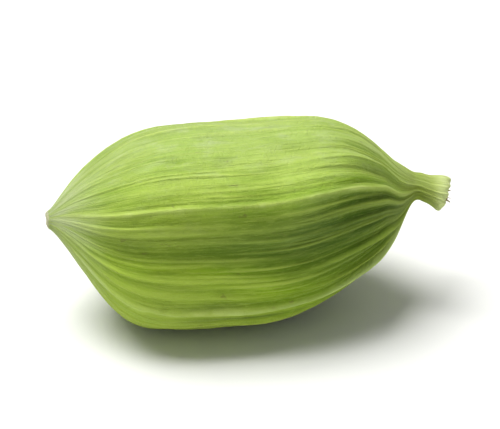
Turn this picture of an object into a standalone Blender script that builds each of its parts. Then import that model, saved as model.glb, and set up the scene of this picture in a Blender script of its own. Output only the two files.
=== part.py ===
"""A green cardamom pod, whole and closed, lying on its side.

The fruit grew as one piece, so it is one solid. Its three valves meet in three seams, and long ribs run
over them from the scar of the stalk, at the base, to the beak, whose hollow end once held the flower.
Units are metres and +Z is up. While the pod is made, x runs from the base (0) to the beak. Angles go
round that axis from the front (-Y), up over the top (+Z) and down the back.
"""

import math
import random
from typing import NamedTuple

import bmesh
import bpy

MM = 0.001
DEGREE = math.pi / 180

# Driving dimensions
BODY_LENGTH = 17.2 * MM
BODY_RADIUS = 4.6 * MM
BEAK_LENGTH = 1.05 * MM
BEAK_RADIUS = 0.62 * MM
SCAR_RADIUS = 0.42 * MM
SCAR_LENGTH = 0.12 * MM

# Long profile of the body: its widest place, how it draws in to each end, and how it blends into the beak
WIDEST_AT = 7.6 * MM
BASE_POWER, BASE_TAPER = 3.6, 1.33
BEAK_POWER, BEAK_TAPER = 4.0, 1.3
NECK_BLEND = 2.5

# Bend: the base turns up, the shoulder before the beak is humped, and the neck leaves it high up
BASE_LIFT, BASE_LIFT_REACH = 0.78 * MM, 1.9 * MM
SHOULDER_LIFT, SHOULDER_REACH = 0.60 * MM, 3.0 * MM
SHOULDER_AT = 14.4 * MM
NECK_LIFT, NECK_REACH, NECK_AT = 0.48 * MM, 0.9 * MM, 16.8 * MM
LEAN_BACK = 0.25

# Ribs: how they stand out from the base of a groove to the crest, and how uneven they are
RIB_SECTION = (1.0, 0.3, 0.0, 0.3)
RIB_JITTER = 0.24
RIB_UNEVENNESS = 0.5
RIB_SWELLS = 1.3
FULL_RELIEF_RADIUS = 2.6 * MM
RIB_SEED = 4

# Run of the ribs: they wander a little, gather into folds before the neck, and turn as they enter it
WANDER = 1.2 * DEGREE
GATHER_HEIGHT = 0.9
GATHER_AT, GATHER_REACH = 14.9 * MM, 1.7 * MM
NECK_TURN = -38 * DEGREE
NECK_TURN_AT, NECK_TURN_REACH = 15.0 * MM, 2.4 * MM

# Beak: its flared and slanting rim, and the hollow in that
RIM_FLARE, RIM_REACH = 0.13 * MM, 0.36 * MM
RIM_SLANT = 0.26
RIM_WAVES, RIM_WAVE_HEIGHT = 3, 0.05 * MM
LIP = 0.28 * MM
HOLLOW_RADIUS = 0.33 * MM
HOLLOW_DEPTH = 0.5 * MM

# The small flat spot that it rests on, where the ribs are rubbed low
SPOT_DEPTH = 0.15 * MM
SPOT_AT = 8.0 * MM
SPOT_REACH = 3.6 * MM
SPOT_SPREAD = 30 * DEGREE

# Rows of the mesh along the pod, closer towards both ends. Those on the scar and in the hollow are
# (depth, radius) as shares of its length or depth and of its radius
BODY_ROWS = 37
ROW_CROWDING = 0.5
BEAK_ROWS = 5
SCAR_ROWS = ((0.3, 0.5), (1.0, 0.85))
HOLLOW_ROWS = ((0.2, 1.0), (0.8, 0.8), (1.0, 0.4))

HUSK_COLOUR = (0.30, 0.44, 0.08, 1.0)
HUSK_ROUGHNESS = 0.55
SHARP_ANGLE = 50 * DEGREE


class Valve(NamedTuple):
    """One valve of the husk: the seam it starts at, which leans from base to beak, and the ribs on it."""

    seam_angle: float
    seam_lean: float
    seam_height: float
    ribs: int
    rib_height: float


class Swell(NamedTuple):
    """A blunt corner along the pod, or a hollow if its height is negative, as a share of the radius."""

    angle: float
    height: float
    spread: float


class Dent(NamedTuple):
    """A shallow dent where the dry husk has sunk in, or a fold that stands out if its depth is negative."""

    angle: float
    spread: float
    at: float
    reach: float
    depth: float


class Crest(NamedTuple):
    """The top line of a rib or of a seam."""

    angle: float
    height: float
    unevenness: float
    phase: float


class Line(NamedTuple):
    """A line of the mesh along the pod, which stands out by a share of its crest's height."""

    angle: float
    crest: Crest
    share: float


VALVES = (
    Valve(38 * DEGREE, 4 * DEGREE, 0.11 * MM, 9, 0.065 * MM),
    Valve(182 * DEGREE, 0 * DEGREE, 0.15 * MM, 11, 0.10 * MM),
    Valve(336 * DEGREE, -6 * DEGREE, 0.19 * MM, 5, 0.10 * MM),
)

SWELLS = (
    Swell(38 * DEGREE, 0.13, 17 * DEGREE),
    Swell(182 * DEGREE, 0.12, 27 * DEGREE),
    Swell(332 * DEGREE, 0.07, 18 * DEGREE),
    Swell(12 * DEGREE, -0.06, 17 * DEGREE),
)

DENTS = (
    Dent(31 * DEGREE, 7 * DEGREE, 14.8 * MM, 1.9 * MM, 0.42 * MM),
    Dent(20 * DEGREE, 14 * DEGREE, 14.0 * MM, 2.2 * MM, 0.20 * MM),
    Dent(7 * DEGREE, 7 * DEGREE, 14.4 * MM, 1.8 * MM, -0.20 * MM),
    Dent(51 * DEGREE, 5 * DEGREE, 15.0 * MM, 1.5 * MM, 0.45 * MM),
    Dent(61 * DEGREE, 5 * DEGREE, 14.8 * MM, 2.0 * MM, -0.24 * MM),
    Dent(71 * DEGREE, 6 * DEGREE, 15.0 * MM, 1.4 * MM, 0.28 * MM),
    Dent(140 * DEGREE, 22 * DEGREE, 11.0 * MM, 3.0 * MM, 0.14 * MM),
    Dent(222 * DEGREE, 22 * DEGREE, 5.4 * MM, 2.6 * MM, 0.22 * MM),
    Dent(297 * DEGREE, 30 * DEGREE, 13.6 * MM, 2.2 * MM, 0.48 * MM),
    Dent(300 * DEGREE, 34 * DEGREE, 1.2 * MM, 0.9 * MM, 0.30 * MM),
    Dent(302 * DEGREE, 28 * DEGREE, 3.4 * MM, 1.3 * MM, -0.18 * MM),
    Dent(118 * DEGREE, 34 * DEGREE, 14.6 * MM, 2.2 * MM, 0.10 * MM),
)


def bump(distance, reach):
    """A soft bell, 1 where the distance is 0."""
    return math.exp(-((distance / reach) ** 2))


def turn_between(angle, centre):
    """Angle from centre to angle, within half a turn either way."""
    return math.remainder(angle - centre, math.tau)


def lean_at(angle):
    """How far the line at that angle leans round the pod from base to beak, between its two seams' leans."""
    for valve, following in zip(VALVES, VALVES[1:] + VALVES[:1]):
        gap = (following.seam_angle - valve.seam_angle) % math.tau
        part = (angle - valve.seam_angle) % math.tau / gap
        if part < 1:
            return valve.seam_lean + (following.seam_lean - valve.seam_lean) * part
    return VALVES[0].seam_lean


def crests_round():
    """Every seam and rib in order round the pod."""
    draw = random.Random(RIB_SEED)
    crests = []
    for valve, following in zip(VALVES, VALVES[1:] + VALVES[:1]):
        step = ((following.seam_angle - valve.seam_angle) % math.tau) / (valve.ribs + 1)
        crests.append(Crest(valve.seam_angle, valve.seam_height, 0.0, 0.0))
        for place in range(1, valve.ribs + 1):
            angle = valve.seam_angle + step * (place + draw.uniform(-RIB_JITTER, RIB_JITTER))
            height = valve.rib_height * (1 + draw.uniform(-RIB_UNEVENNESS, RIB_UNEVENNESS))
            crests.append(Crest(angle, height, RIB_UNEVENNESS, draw.uniform(0, math.tau)))
    return crests


def lines_round():
    """The lines of the mesh along the pod, evenly set between each crest and the next."""
    crests = crests_round()
    lines = []
    for crest, following in zip(crests, crests[1:] + crests[:1]):
        gap = (following.angle - crest.angle) % math.tau
        for i, share in enumerate(RIB_SECTION):
            nearest = crest if 2 * i <= len(RIB_SECTION) else following
            lines.append(Line(crest.angle + gap * i / len(RIB_SECTION), nearest, share))
    return lines


def radius_at(x):
    """Mean radius at x: the body drawn in to the scar, and blended at its end into the flared beak."""
    if x < WIDEST_AT:
        share = (WIDEST_AT - x) / WIDEST_AT
        return SCAR_RADIUS + (BODY_RADIUS - SCAR_RADIUS) * (1 - share**BASE_POWER) ** BASE_TAPER
    share = min(1.0, (x - WIDEST_AT) / (BODY_LENGTH - WIDEST_AT))
    body = BODY_RADIUS * (1 - share**BEAK_POWER) ** BEAK_TAPER
    into_beak = max(0.0, 1 - (body / BODY_RADIUS)) ** 2
    beak = into_beak * (BEAK_RADIUS + RIM_FLARE * bump(BODY_LENGTH + BEAK_LENGTH - LIP - x, RIM_REACH))
    return (body**NECK_BLEND + beak**NECK_BLEND) ** (1 / NECK_BLEND)


def spine_at(x):
    """How far the middle of the section at x is set back and lifted, as (y, z)."""
    at_base = BASE_LIFT * bump(max(x, 0.0), BASE_LIFT_REACH)
    at_shoulder = SHOULDER_LIFT * bump(min(x - SHOULDER_AT, 0.0), SHOULDER_REACH)
    at_neck = NECK_LIFT * bump(x - NECK_AT, NECK_REACH)
    return LEAN_BACK * (at_shoulder + at_neck), at_base + at_shoulder + at_neck


def angle_along(x, angle):
    """Where the line of that angle runs at x."""
    along = x / BODY_LENGTH
    into_neck = max(0.0, min(1.0, (x - NECK_TURN_AT) / NECK_TURN_REACH))
    neck_turn = NECK_TURN * into_neck**2 * (3 - 2 * into_neck)
    return angle + lean_at(angle) * (along - 0.5) + WANDER * math.sin(math.tau * along + angle) + neck_turn


def rubbed_low(x, angle):
    """How far the husk is rubbed smooth there by what it rests on, from 0 to 1."""
    return bump(x - SPOT_AT, SPOT_REACH) * bump(turn_between(angle, -math.pi / 2), SPOT_SPREAD)


def relief(x, angle, line, radius):
    """How far the ribs and seams raise the husk there. They sink as the pod narrows."""
    turn = math.tau * RIB_SWELLS * x / BODY_LENGTH + line.crest.phase
    swelling = 1 + line.crest.unevenness * math.sin(turn)
    gathered = 1 + GATHER_HEIGHT * bump(x - GATHER_AT, GATHER_REACH)
    narrowing = min(1.0, radius / FULL_RELIEF_RADIUS)
    return line.share * line.crest.height * swelling * gathered * narrowing * (1 - rubbed_low(x, angle))


def corners_at(angle):
    """How far the corners stand out at that angle, as a share of the radius."""
    return sum(swell.height * bump(turn_between(angle, swell.angle), swell.spread) for swell in SWELLS)


def dents_at(x, angle):
    """How far the dents sink the husk there."""
    return sum(
        dent.depth * bump(x - dent.at, dent.reach) * bump(turn_between(angle, dent.angle), dent.spread)
        for dent in DENTS
    )


def surface_point(x, radius, line):
    """The point of the husk on that line, in the section of that mean radius at x."""
    angle = angle_along(x, line.angle)
    fullness = min(1.0, radius / BODY_RADIUS)
    rounded = radius * (1 + corners_at(line.angle) * fullness)
    out = rounded + relief(x, angle, line, radius) - dents_at(x, line.angle) * fullness
    back, lift = spine_at(x)
    to_rim = max(0.0, (x - BODY_LENGTH) / BEAK_LENGTH) ** 2
    slant = RIM_SLANT * out * math.sin(angle) + RIM_WAVE_HEIGHT * math.sin(RIM_WAVES * angle)
    return (x + slant * to_rim, back - out * math.cos(angle), lift + out * math.sin(angle))


def profile_rows():
    """Rows as (x, mean radius), from the middle of the scar round the body to the floor of the hollow."""
    rows = [(-SCAR_LENGTH * depth, SCAR_RADIUS * width) for depth, width in SCAR_ROWS]
    for i in range(BODY_ROWS + 1):
        share = i / BODY_ROWS
        share -= ROW_CROWDING * math.sin(math.tau * share) / math.tau
        rows.append((BODY_LENGTH * share, radius_at(BODY_LENGTH * share)))
    for i in range(1, BEAK_ROWS + 1):
        x = BODY_LENGTH + (BEAK_LENGTH - LIP) * i / BEAK_ROWS
        rows.append((x, radius_at(x)))
    end = BODY_LENGTH + BEAK_LENGTH
    rows.append((end, (BEAK_RADIUS + RIM_FLARE + HOLLOW_RADIUS) / 2))
    rows += [(end - HOLLOW_DEPTH * depth, HOLLOW_RADIUS * width) for depth, width in HOLLOW_ROWS]
    return rows


def husk_mesh():
    """The whole husk as one closed mesh: rows joined by quads, and closed at the scar and in the hollow."""
    lines = lines_round()
    mesh = bmesh.new()
    rows = []
    for x, radius in profile_rows():
        rows.append([mesh.verts.new(surface_point(x, radius, line)) for line in lines])
    for row, following in zip(rows, rows[1:]):
        for i in range(len(row)):
            mesh.faces.new((row[i - 1], row[i], following[i], following[i - 1]))
    mesh.faces.new(rows[0])
    mesh.faces.new(rows[-1])
    bmesh.ops.recalc_face_normals(mesh, faces=mesh.faces)
    return mesh


def cut_flat_spot(mesh):
    """Cuts the lowest part off level, and closes the cut with one flat face."""
    lowest = min(vert.co.z for vert in mesh.verts)
    cut = bmesh.ops.bisect_plane(
        mesh,
        geom=mesh.verts[:] + mesh.edges[:] + mesh.faces[:],
        plane_co=(0.0, 0.0, lowest + SPOT_DEPTH),
        plane_no=(0.0, 0.0, 1.0),
        clear_inner=True,
    )
    rim = [item for item in cut["geom_cut"] if isinstance(item, bmesh.types.BMEdge)]
    bmesh.ops.edgeloop_fill(mesh, edges=rim)
    bmesh.ops.recalc_face_normals(mesh, faces=mesh.faces)


def stand_on_origin(mesh):
    """Moves the mesh so that the middle of its box is over the origin and its flat spot is at z = 0."""
    for axis in range(3):
        low = min(vert.co[axis] for vert in mesh.verts)
        high = max(vert.co[axis] for vert in mesh.verts)
        shift = [0.0, 0.0, 0.0]
        shift[axis] = -low if axis == 2 else -(low + high) / 2
        bmesh.ops.translate(mesh, verts=mesh.verts, vec=shift)


def husk_material():
    """Dry green husk."""
    material = bpy.data.materials.new("husk")
    material.use_nodes = True
    shader = material.node_tree.nodes["Principled BSDF"]
    shader.inputs["Base Color"].default_value = HUSK_COLOUR
    shader.inputs["Roughness"].default_value = HUSK_ROUGHNESS
    shader.inputs["Metallic"].default_value = 0.0
    return material


def main():
    """Clears the scene and makes the pod."""
    for old in list(bpy.data.objects):
        bpy.data.objects.remove(old)
    mesh = husk_mesh()
    cut_flat_spot(mesh)
    stand_on_origin(mesh)
    data = bpy.data.meshes.new("cardamom_pod")
    mesh.to_mesh(data)
    mesh.free()
    data.shade_smooth()
    data.set_sharp_from_angle(angle=SHARP_ANGLE)
    data.materials.append(husk_material())
    pod = bpy.data.objects.new("cardamom_pod", data)
    bpy.context.scene.collection.objects.link(pod)


main()
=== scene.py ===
"""The looks of a green cardamom pod: its dry ribbed husk, with the scar of the stalk and the hollow beak,
and the shreds of the flower that dried in that hollow.

Units are metres and +Z is up. On the pod, x runs from the base (0) to the beak, and angles go round that
axis from the front (-Y), up over the top (+Z) and down the back.
"""

from __future__ import annotations

import logging
import math
import random
from dataclasses import dataclass, field
from enum import Enum, auto

import bpy
import numpy as np
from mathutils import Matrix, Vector

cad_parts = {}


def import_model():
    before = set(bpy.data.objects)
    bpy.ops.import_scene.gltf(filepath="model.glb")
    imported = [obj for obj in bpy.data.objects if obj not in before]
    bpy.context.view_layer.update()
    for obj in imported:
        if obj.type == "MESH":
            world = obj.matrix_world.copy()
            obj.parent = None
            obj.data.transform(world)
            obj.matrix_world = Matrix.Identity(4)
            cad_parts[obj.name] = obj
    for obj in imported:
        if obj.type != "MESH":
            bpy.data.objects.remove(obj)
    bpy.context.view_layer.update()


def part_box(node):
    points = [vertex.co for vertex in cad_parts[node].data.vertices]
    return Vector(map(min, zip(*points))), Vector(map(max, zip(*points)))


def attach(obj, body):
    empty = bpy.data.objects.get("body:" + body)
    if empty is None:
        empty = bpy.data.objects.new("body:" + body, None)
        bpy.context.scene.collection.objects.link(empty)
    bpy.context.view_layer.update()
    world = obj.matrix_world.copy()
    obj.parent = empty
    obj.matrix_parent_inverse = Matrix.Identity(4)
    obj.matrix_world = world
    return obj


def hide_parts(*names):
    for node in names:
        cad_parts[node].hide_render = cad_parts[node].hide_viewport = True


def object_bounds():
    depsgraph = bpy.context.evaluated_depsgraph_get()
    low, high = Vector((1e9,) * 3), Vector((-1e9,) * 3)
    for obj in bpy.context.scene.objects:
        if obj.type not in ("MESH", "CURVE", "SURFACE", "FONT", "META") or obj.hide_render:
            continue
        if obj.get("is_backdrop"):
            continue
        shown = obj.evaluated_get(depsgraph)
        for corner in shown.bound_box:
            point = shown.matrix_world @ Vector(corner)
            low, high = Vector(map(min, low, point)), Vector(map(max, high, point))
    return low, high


MM = 0.001
DEGREE = math.pi / 180
NODE = "cardamom_pod"
BODY = "root"

Pair = tuple[float, float]
Triple = tuple[float, float, float]
Colour = Triple
Value = float | Triple | bpy.types.NodeSocket

log = logging.getLogger("cardamom")


def bell(distance: np.ndarray, reach: float) -> np.ndarray:
    """A soft bell, 1 where the distance is 0."""
    return np.exp(-((distance / reach) ** 2))


def turn_between(angle: np.ndarray, centre: float) -> np.ndarray:
    """Angle from centre to angle, within half a turn either way."""
    return (angle - centre + math.pi) % math.tau - math.pi


def from_least(least: float, share: np.ndarray) -> np.ndarray:
    """A share that runs from least to 1 where the given one runs from 0 to 1."""
    return least + (1 - least) * share


@dataclass(frozen=True)
class Valve:
    """One valve of the husk: the seam that it starts at, which leans along the pod, and the ribs on it."""

    seam_angle: float
    seam_lean: float
    seam_height: float
    ribs: int
    rib_height: float


@dataclass(frozen=True)
class Swell:
    """A blunt corner along the pod, or a hollow if its height is negative, as a share of the radius."""

    angle: float
    height: float
    spread: float


@dataclass(frozen=True)
class Patch:
    """A soft patch of the husk round an angle and a place along the pod, and what it has in its middle."""

    angle: float
    spread: float
    at: float
    reach: float
    amount: float


def patches_at(patches: tuple[Patch, ...], x: np.ndarray, angle: np.ndarray) -> np.ndarray:
    """Adds up patches.

    Args:
        patches: The patches.
        x: Place of each point along the pod.
        angle: Its angle round the pod.

    Returns:
        The sum of the patches' amounts at each point.
    """
    total = np.zeros(np.broadcast(x, angle).shape)
    for patch in patches:
        along = patch.amount * bell(x - patch.at, patch.reach)
        total += along * bell(turn_between(angle, patch.angle), patch.spread)
    return total


@dataclass(frozen=True)
class Crest:
    """The top line of a rib, a vein or a seam. A seam is even, with an unevenness of 0."""

    angle: float
    height: float
    unevenness: float
    phase: float


@dataclass(frozen=True)
class Ripple:
    """Smooth random relief on a lattice that closes round the pod, up to about its height above or below."""

    around: int
    along: int
    height: float
    seed: int

    def at(self, angle: np.ndarray, share: np.ndarray) -> np.ndarray:
        """The relief at each point.

        Args:
            angle: Angle round the pod, in radians.
            share: Place along the pod, from 0 at the base to 1 at the tip of the beak.

        Returns:
            How far it is above or below 0, in the unit of the height.
        """
        knots = np.random.default_rng(self.seed).uniform(-1.0, 1.0, (self.along + 4, self.around))
        column = angle / math.tau * self.around
        row = np.clip(share, 0.0, 1.0) * self.along
        column_floor = np.floor(column).astype(int)
        row_floor = np.floor(row).astype(int)
        total = np.zeros(np.broadcast(angle, share).shape)
        for i, row_weight in enumerate(self._weights(row - row_floor)):
            for j, column_weight in enumerate(self._weights(column - column_floor)):
                total += row_weight * column_weight * knots[row_floor + i, (column_floor + j) % self.around]
        return self.height * total

    @staticmethod
    def _weights(t: np.ndarray) -> tuple[np.ndarray, ...]:
        """The weights of a cubic spline.

        Args:
            t: How far each point is past a knot, from 0 to 1.

        Returns:
            The weights of the four knots round it.
        """
        return (
            (1 - t) ** 3 / 6,
            (3 * t**3 - 6 * t**2 + 4) / 6,
            (-3 * t**3 + 3 * t**2 + 3 * t + 1) / 6,
            t**3 / 6,
        )


@dataclass(frozen=True)
class PodShape:
    """The form of the pod: its long profile, its bend, its three corners, its ribs and its beak.

    A dent's amount is its depth, so a fold that stands out has a negative one.
    """

    # The long profile.
    body_length: float = 17.2 * MM
    body_radius: float = 4.6 * MM
    beak_length: float = 1.05 * MM
    beak_radius: float = 0.62 * MM
    scar_radius: float = 0.42 * MM
    scar_length: float = 0.12 * MM
    widest_at: float = 7.6 * MM
    base_power: float = 3.6
    base_taper: float = 1.33
    beak_power: float = 4.0
    beak_taper: float = 1.3
    neck_blend: float = 2.5
    # The bend.
    base_lift: float = 0.78 * MM
    base_lift_reach: float = 1.9 * MM
    shoulder_lift: float = 0.60 * MM
    shoulder_reach: float = 3.0 * MM
    shoulder_at: float = 14.4 * MM
    neck_lift: float = 0.48 * MM
    neck_reach: float = 0.9 * MM
    neck_at: float = 16.8 * MM
    lean_back: float = 0.25
    # The lines of the seams and ribs, which gather and turn at the neck.
    wander: float = 1.2 * DEGREE
    gather_height: float = 0.9
    gather_at: float = 14.9 * MM
    gather_reach: float = 1.7 * MM
    neck_turn: float = -38 * DEGREE
    neck_turn_at: float = 15.0 * MM
    neck_turn_reach: float = 2.4 * MM
    full_relief_radius: float = 2.6 * MM
    rib_jitter: float = 0.24
    rib_unevenness: float = 0.5
    rib_swells: float = 1.3
    rib_seed: int = 4
    # The rim of the beak, and the hollow in it.
    rim_flare: float = 0.13 * MM
    rim_reach: float = 0.36 * MM
    rim_slant: float = 0.26
    rim_wave: float = 0.05 * MM
    rim_waves: int = 3
    lip: float = 0.28 * MM
    hollow_radius: float = 0.33 * MM
    hollow_depth: float = 0.5 * MM
    # The flat spot that the pod rests on.
    spot_depth: float = 0.15 * MM
    spot_angle: float = -90 * DEGREE
    spot_at: float = 8.0 * MM
    spot_reach: float = 3.6 * MM
    spot_spread: float = 30 * DEGREE
    valves: tuple[Valve, ...] = (
        Valve(38 * DEGREE, 4 * DEGREE, 0.11 * MM, 9, 0.065 * MM),
        Valve(182 * DEGREE, 0 * DEGREE, 0.15 * MM, 11, 0.10 * MM),
        Valve(336 * DEGREE, -6 * DEGREE, 0.19 * MM, 5, 0.10 * MM),
    )
    swells: tuple[Swell, ...] = (
        Swell(38 * DEGREE, 0.13, 17 * DEGREE),
        Swell(182 * DEGREE, 0.12, 27 * DEGREE),
        Swell(332 * DEGREE, 0.07, 18 * DEGREE),
        Swell(12 * DEGREE, -0.06, 17 * DEGREE),
    )
    dents: tuple[Patch, ...] = (
        Patch(31 * DEGREE, 7 * DEGREE, 14.8 * MM, 1.9 * MM, 0.42 * MM),
        Patch(20 * DEGREE, 14 * DEGREE, 14.0 * MM, 2.2 * MM, 0.20 * MM),
        Patch(7 * DEGREE, 7 * DEGREE, 14.4 * MM, 1.8 * MM, -0.20 * MM),
        Patch(51 * DEGREE, 5 * DEGREE, 15.0 * MM, 1.5 * MM, 0.45 * MM),
        Patch(61 * DEGREE, 5 * DEGREE, 14.8 * MM, 2.0 * MM, -0.24 * MM),
        Patch(71 * DEGREE, 6 * DEGREE, 15.0 * MM, 1.4 * MM, 0.28 * MM),
        Patch(140 * DEGREE, 22 * DEGREE, 11.0 * MM, 3.0 * MM, 0.14 * MM),
        Patch(222 * DEGREE, 22 * DEGREE, 5.4 * MM, 2.6 * MM, 0.22 * MM),
        Patch(297 * DEGREE, 30 * DEGREE, 13.6 * MM, 2.2 * MM, 0.48 * MM),
        Patch(300 * DEGREE, 34 * DEGREE, 1.2 * MM, 0.9 * MM, 0.30 * MM),
        Patch(302 * DEGREE, 28 * DEGREE, 3.4 * MM, 1.3 * MM, -0.18 * MM),
        Patch(118 * DEGREE, 34 * DEGREE, 14.6 * MM, 2.2 * MM, 0.10 * MM),
    )

    @property
    def length(self) -> float:
        """Length from the base to the tip of the beak."""
        return self.body_length + self.beak_length

    @property
    def lower_seam(self) -> float:
        """Angle of the seam along the lower edge of the front."""
        return self.valves[-1].seam_angle

    def crests(self) -> list[Crest]:
        """Every seam and rib.

        Returns:
            Their top lines, in order round the pod.
        """
        draw = random.Random(self.rib_seed)
        crests = []
        for valve, following in zip(self.valves, self.valves[1:] + self.valves[:1]):
            step = ((following.seam_angle - valve.seam_angle) % math.tau) / (valve.ribs + 1)
            crests.append(Crest(valve.seam_angle, valve.seam_height, 0.0, 0.0))
            for place in range(1, valve.ribs + 1):
                angle = valve.seam_angle + step * (place + draw.uniform(-self.rib_jitter, self.rib_jitter))
                height = valve.rib_height * (1 + draw.uniform(-self.rib_unevenness, self.rib_unevenness))
                crests.append(Crest(angle, height, self.rib_unevenness, draw.uniform(0, math.tau)))
        return crests

    def radius_at(self, x: np.ndarray) -> np.ndarray:
        """Mean radius, from the scar over the body, which blends into the beak, to its flared rim.

        Args:
            x: Places along the pod.

        Returns:
            The radius at each.
        """
        to_base = np.clip((self.widest_at - x) / self.widest_at, 0.0, 1.0)
        to_neck = np.clip((x - self.widest_at) / (self.body_length - self.widest_at), 0.0, 1.0)
        base_side = (1 - to_base**self.base_power) ** self.base_taper
        beak_side = (1 - to_neck**self.beak_power) ** self.beak_taper
        body = self.body_radius * beak_side
        rim = self.rim_flare * bell(self.length - self.lip - x, self.rim_reach)
        beak = (1 - beak_side) ** 2 * (self.beak_radius + rim)
        return np.where(
            x < self.widest_at,
            self.scar_radius + (self.body_radius - self.scar_radius) * base_side,
            (body**self.neck_blend + beak**self.neck_blend) ** (1 / self.neck_blend),
        )

    def spine_at(self, x: np.ndarray) -> tuple[np.ndarray, np.ndarray]:
        """The bend of the pod.

        Args:
            x: Places along the pod.

        Returns:
            How far the middle of each section is set back, and how far it is lifted.
        """
        at_base = self.base_lift * bell(np.maximum(x, 0.0), self.base_lift_reach)
        at_shoulder = self.shoulder_lift * bell(np.minimum(x - self.shoulder_at, 0.0), self.shoulder_reach)
        at_neck = self.neck_lift * bell(x - self.neck_at, self.neck_reach)
        return self.lean_back * (at_shoulder + at_neck), at_base + at_shoulder + at_neck

    def corners_at(self, angle: np.ndarray) -> np.ndarray:
        """The blunt corners.

        Args:
            angle: Angles round the pod.

        Returns:
            How far they stand out at each, as a share of the radius.
        """
        total = np.zeros(angle.shape)
        for swell in self.swells:
            total += swell.height * bell(turn_between(angle, swell.angle), swell.spread)
        return total

    def angle_along(self, x: np.ndarray, angle: np.ndarray) -> np.ndarray:
        """The lines that the seams and ribs follow: they lean, wander a little and turn into the neck.

        Args:
            x: Places along the pod.
            angle: Angle of each line where it stands on the grid.

        Returns:
            The angle at which each line is at each place.
        """
        seams = [valve.seam_angle for valve in self.valves]
        leans = [valve.seam_lean for valve in self.valves]
        lean = np.interp(angle, seams, leans, period=math.tau)
        along = x / self.body_length
        into_neck = np.clip((x - self.neck_turn_at) / self.neck_turn_reach, 0.0, 1.0)
        turn = self.neck_turn * into_neck**2 * (3 - 2 * into_neck)
        return angle + lean * (along - 0.5) + self.wander * np.sin(math.tau * along + angle) + turn

    def rubbed_low(self, x: np.ndarray, angle: np.ndarray) -> np.ndarray:
        """How far the husk is rubbed smooth there by what it rests on, from 0 to 1."""
        along = bell(x - self.spot_at, self.spot_reach)
        return along * bell(turn_between(angle, self.spot_angle), self.spot_spread)


class Kept(Enum):
    """What the husk's mesh keeps at each point for its finish."""

    CREST = "crest"
    VEIN = "vein"
    SEAM = "seam"
    LOWER_SEAM = "lower_seam"
    SHADE_IN_GROOVES = "groove_shade"
    INSIDE = "inside"
    ALONG = "along"
    LIGHT_AND_SHADE = "light_and_shade"
    DUST_AND_SHEEN_TOP = "dust_and_sheen_top"
    GRAIN = "grain"


class Arithmetic(Enum):
    """A step of arithmetic in a material."""

    ADD = "ADD"
    SUBTRACT = "SUBTRACT"
    MULTIPLY = "MULTIPLY"
    MULTIPLY_ADD = "MULTIPLY_ADD"
    DIVIDE = "DIVIDE"
    MAXIMUM = "MAXIMUM"
    ABSOLUTE = "ABSOLUTE"


@dataclass(frozen=True)
class Noise:
    """What a noise is made of: levels of detail, how rough they are, and how far they are pulled about."""

    detail: float
    roughness: float
    distortion: float


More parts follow.
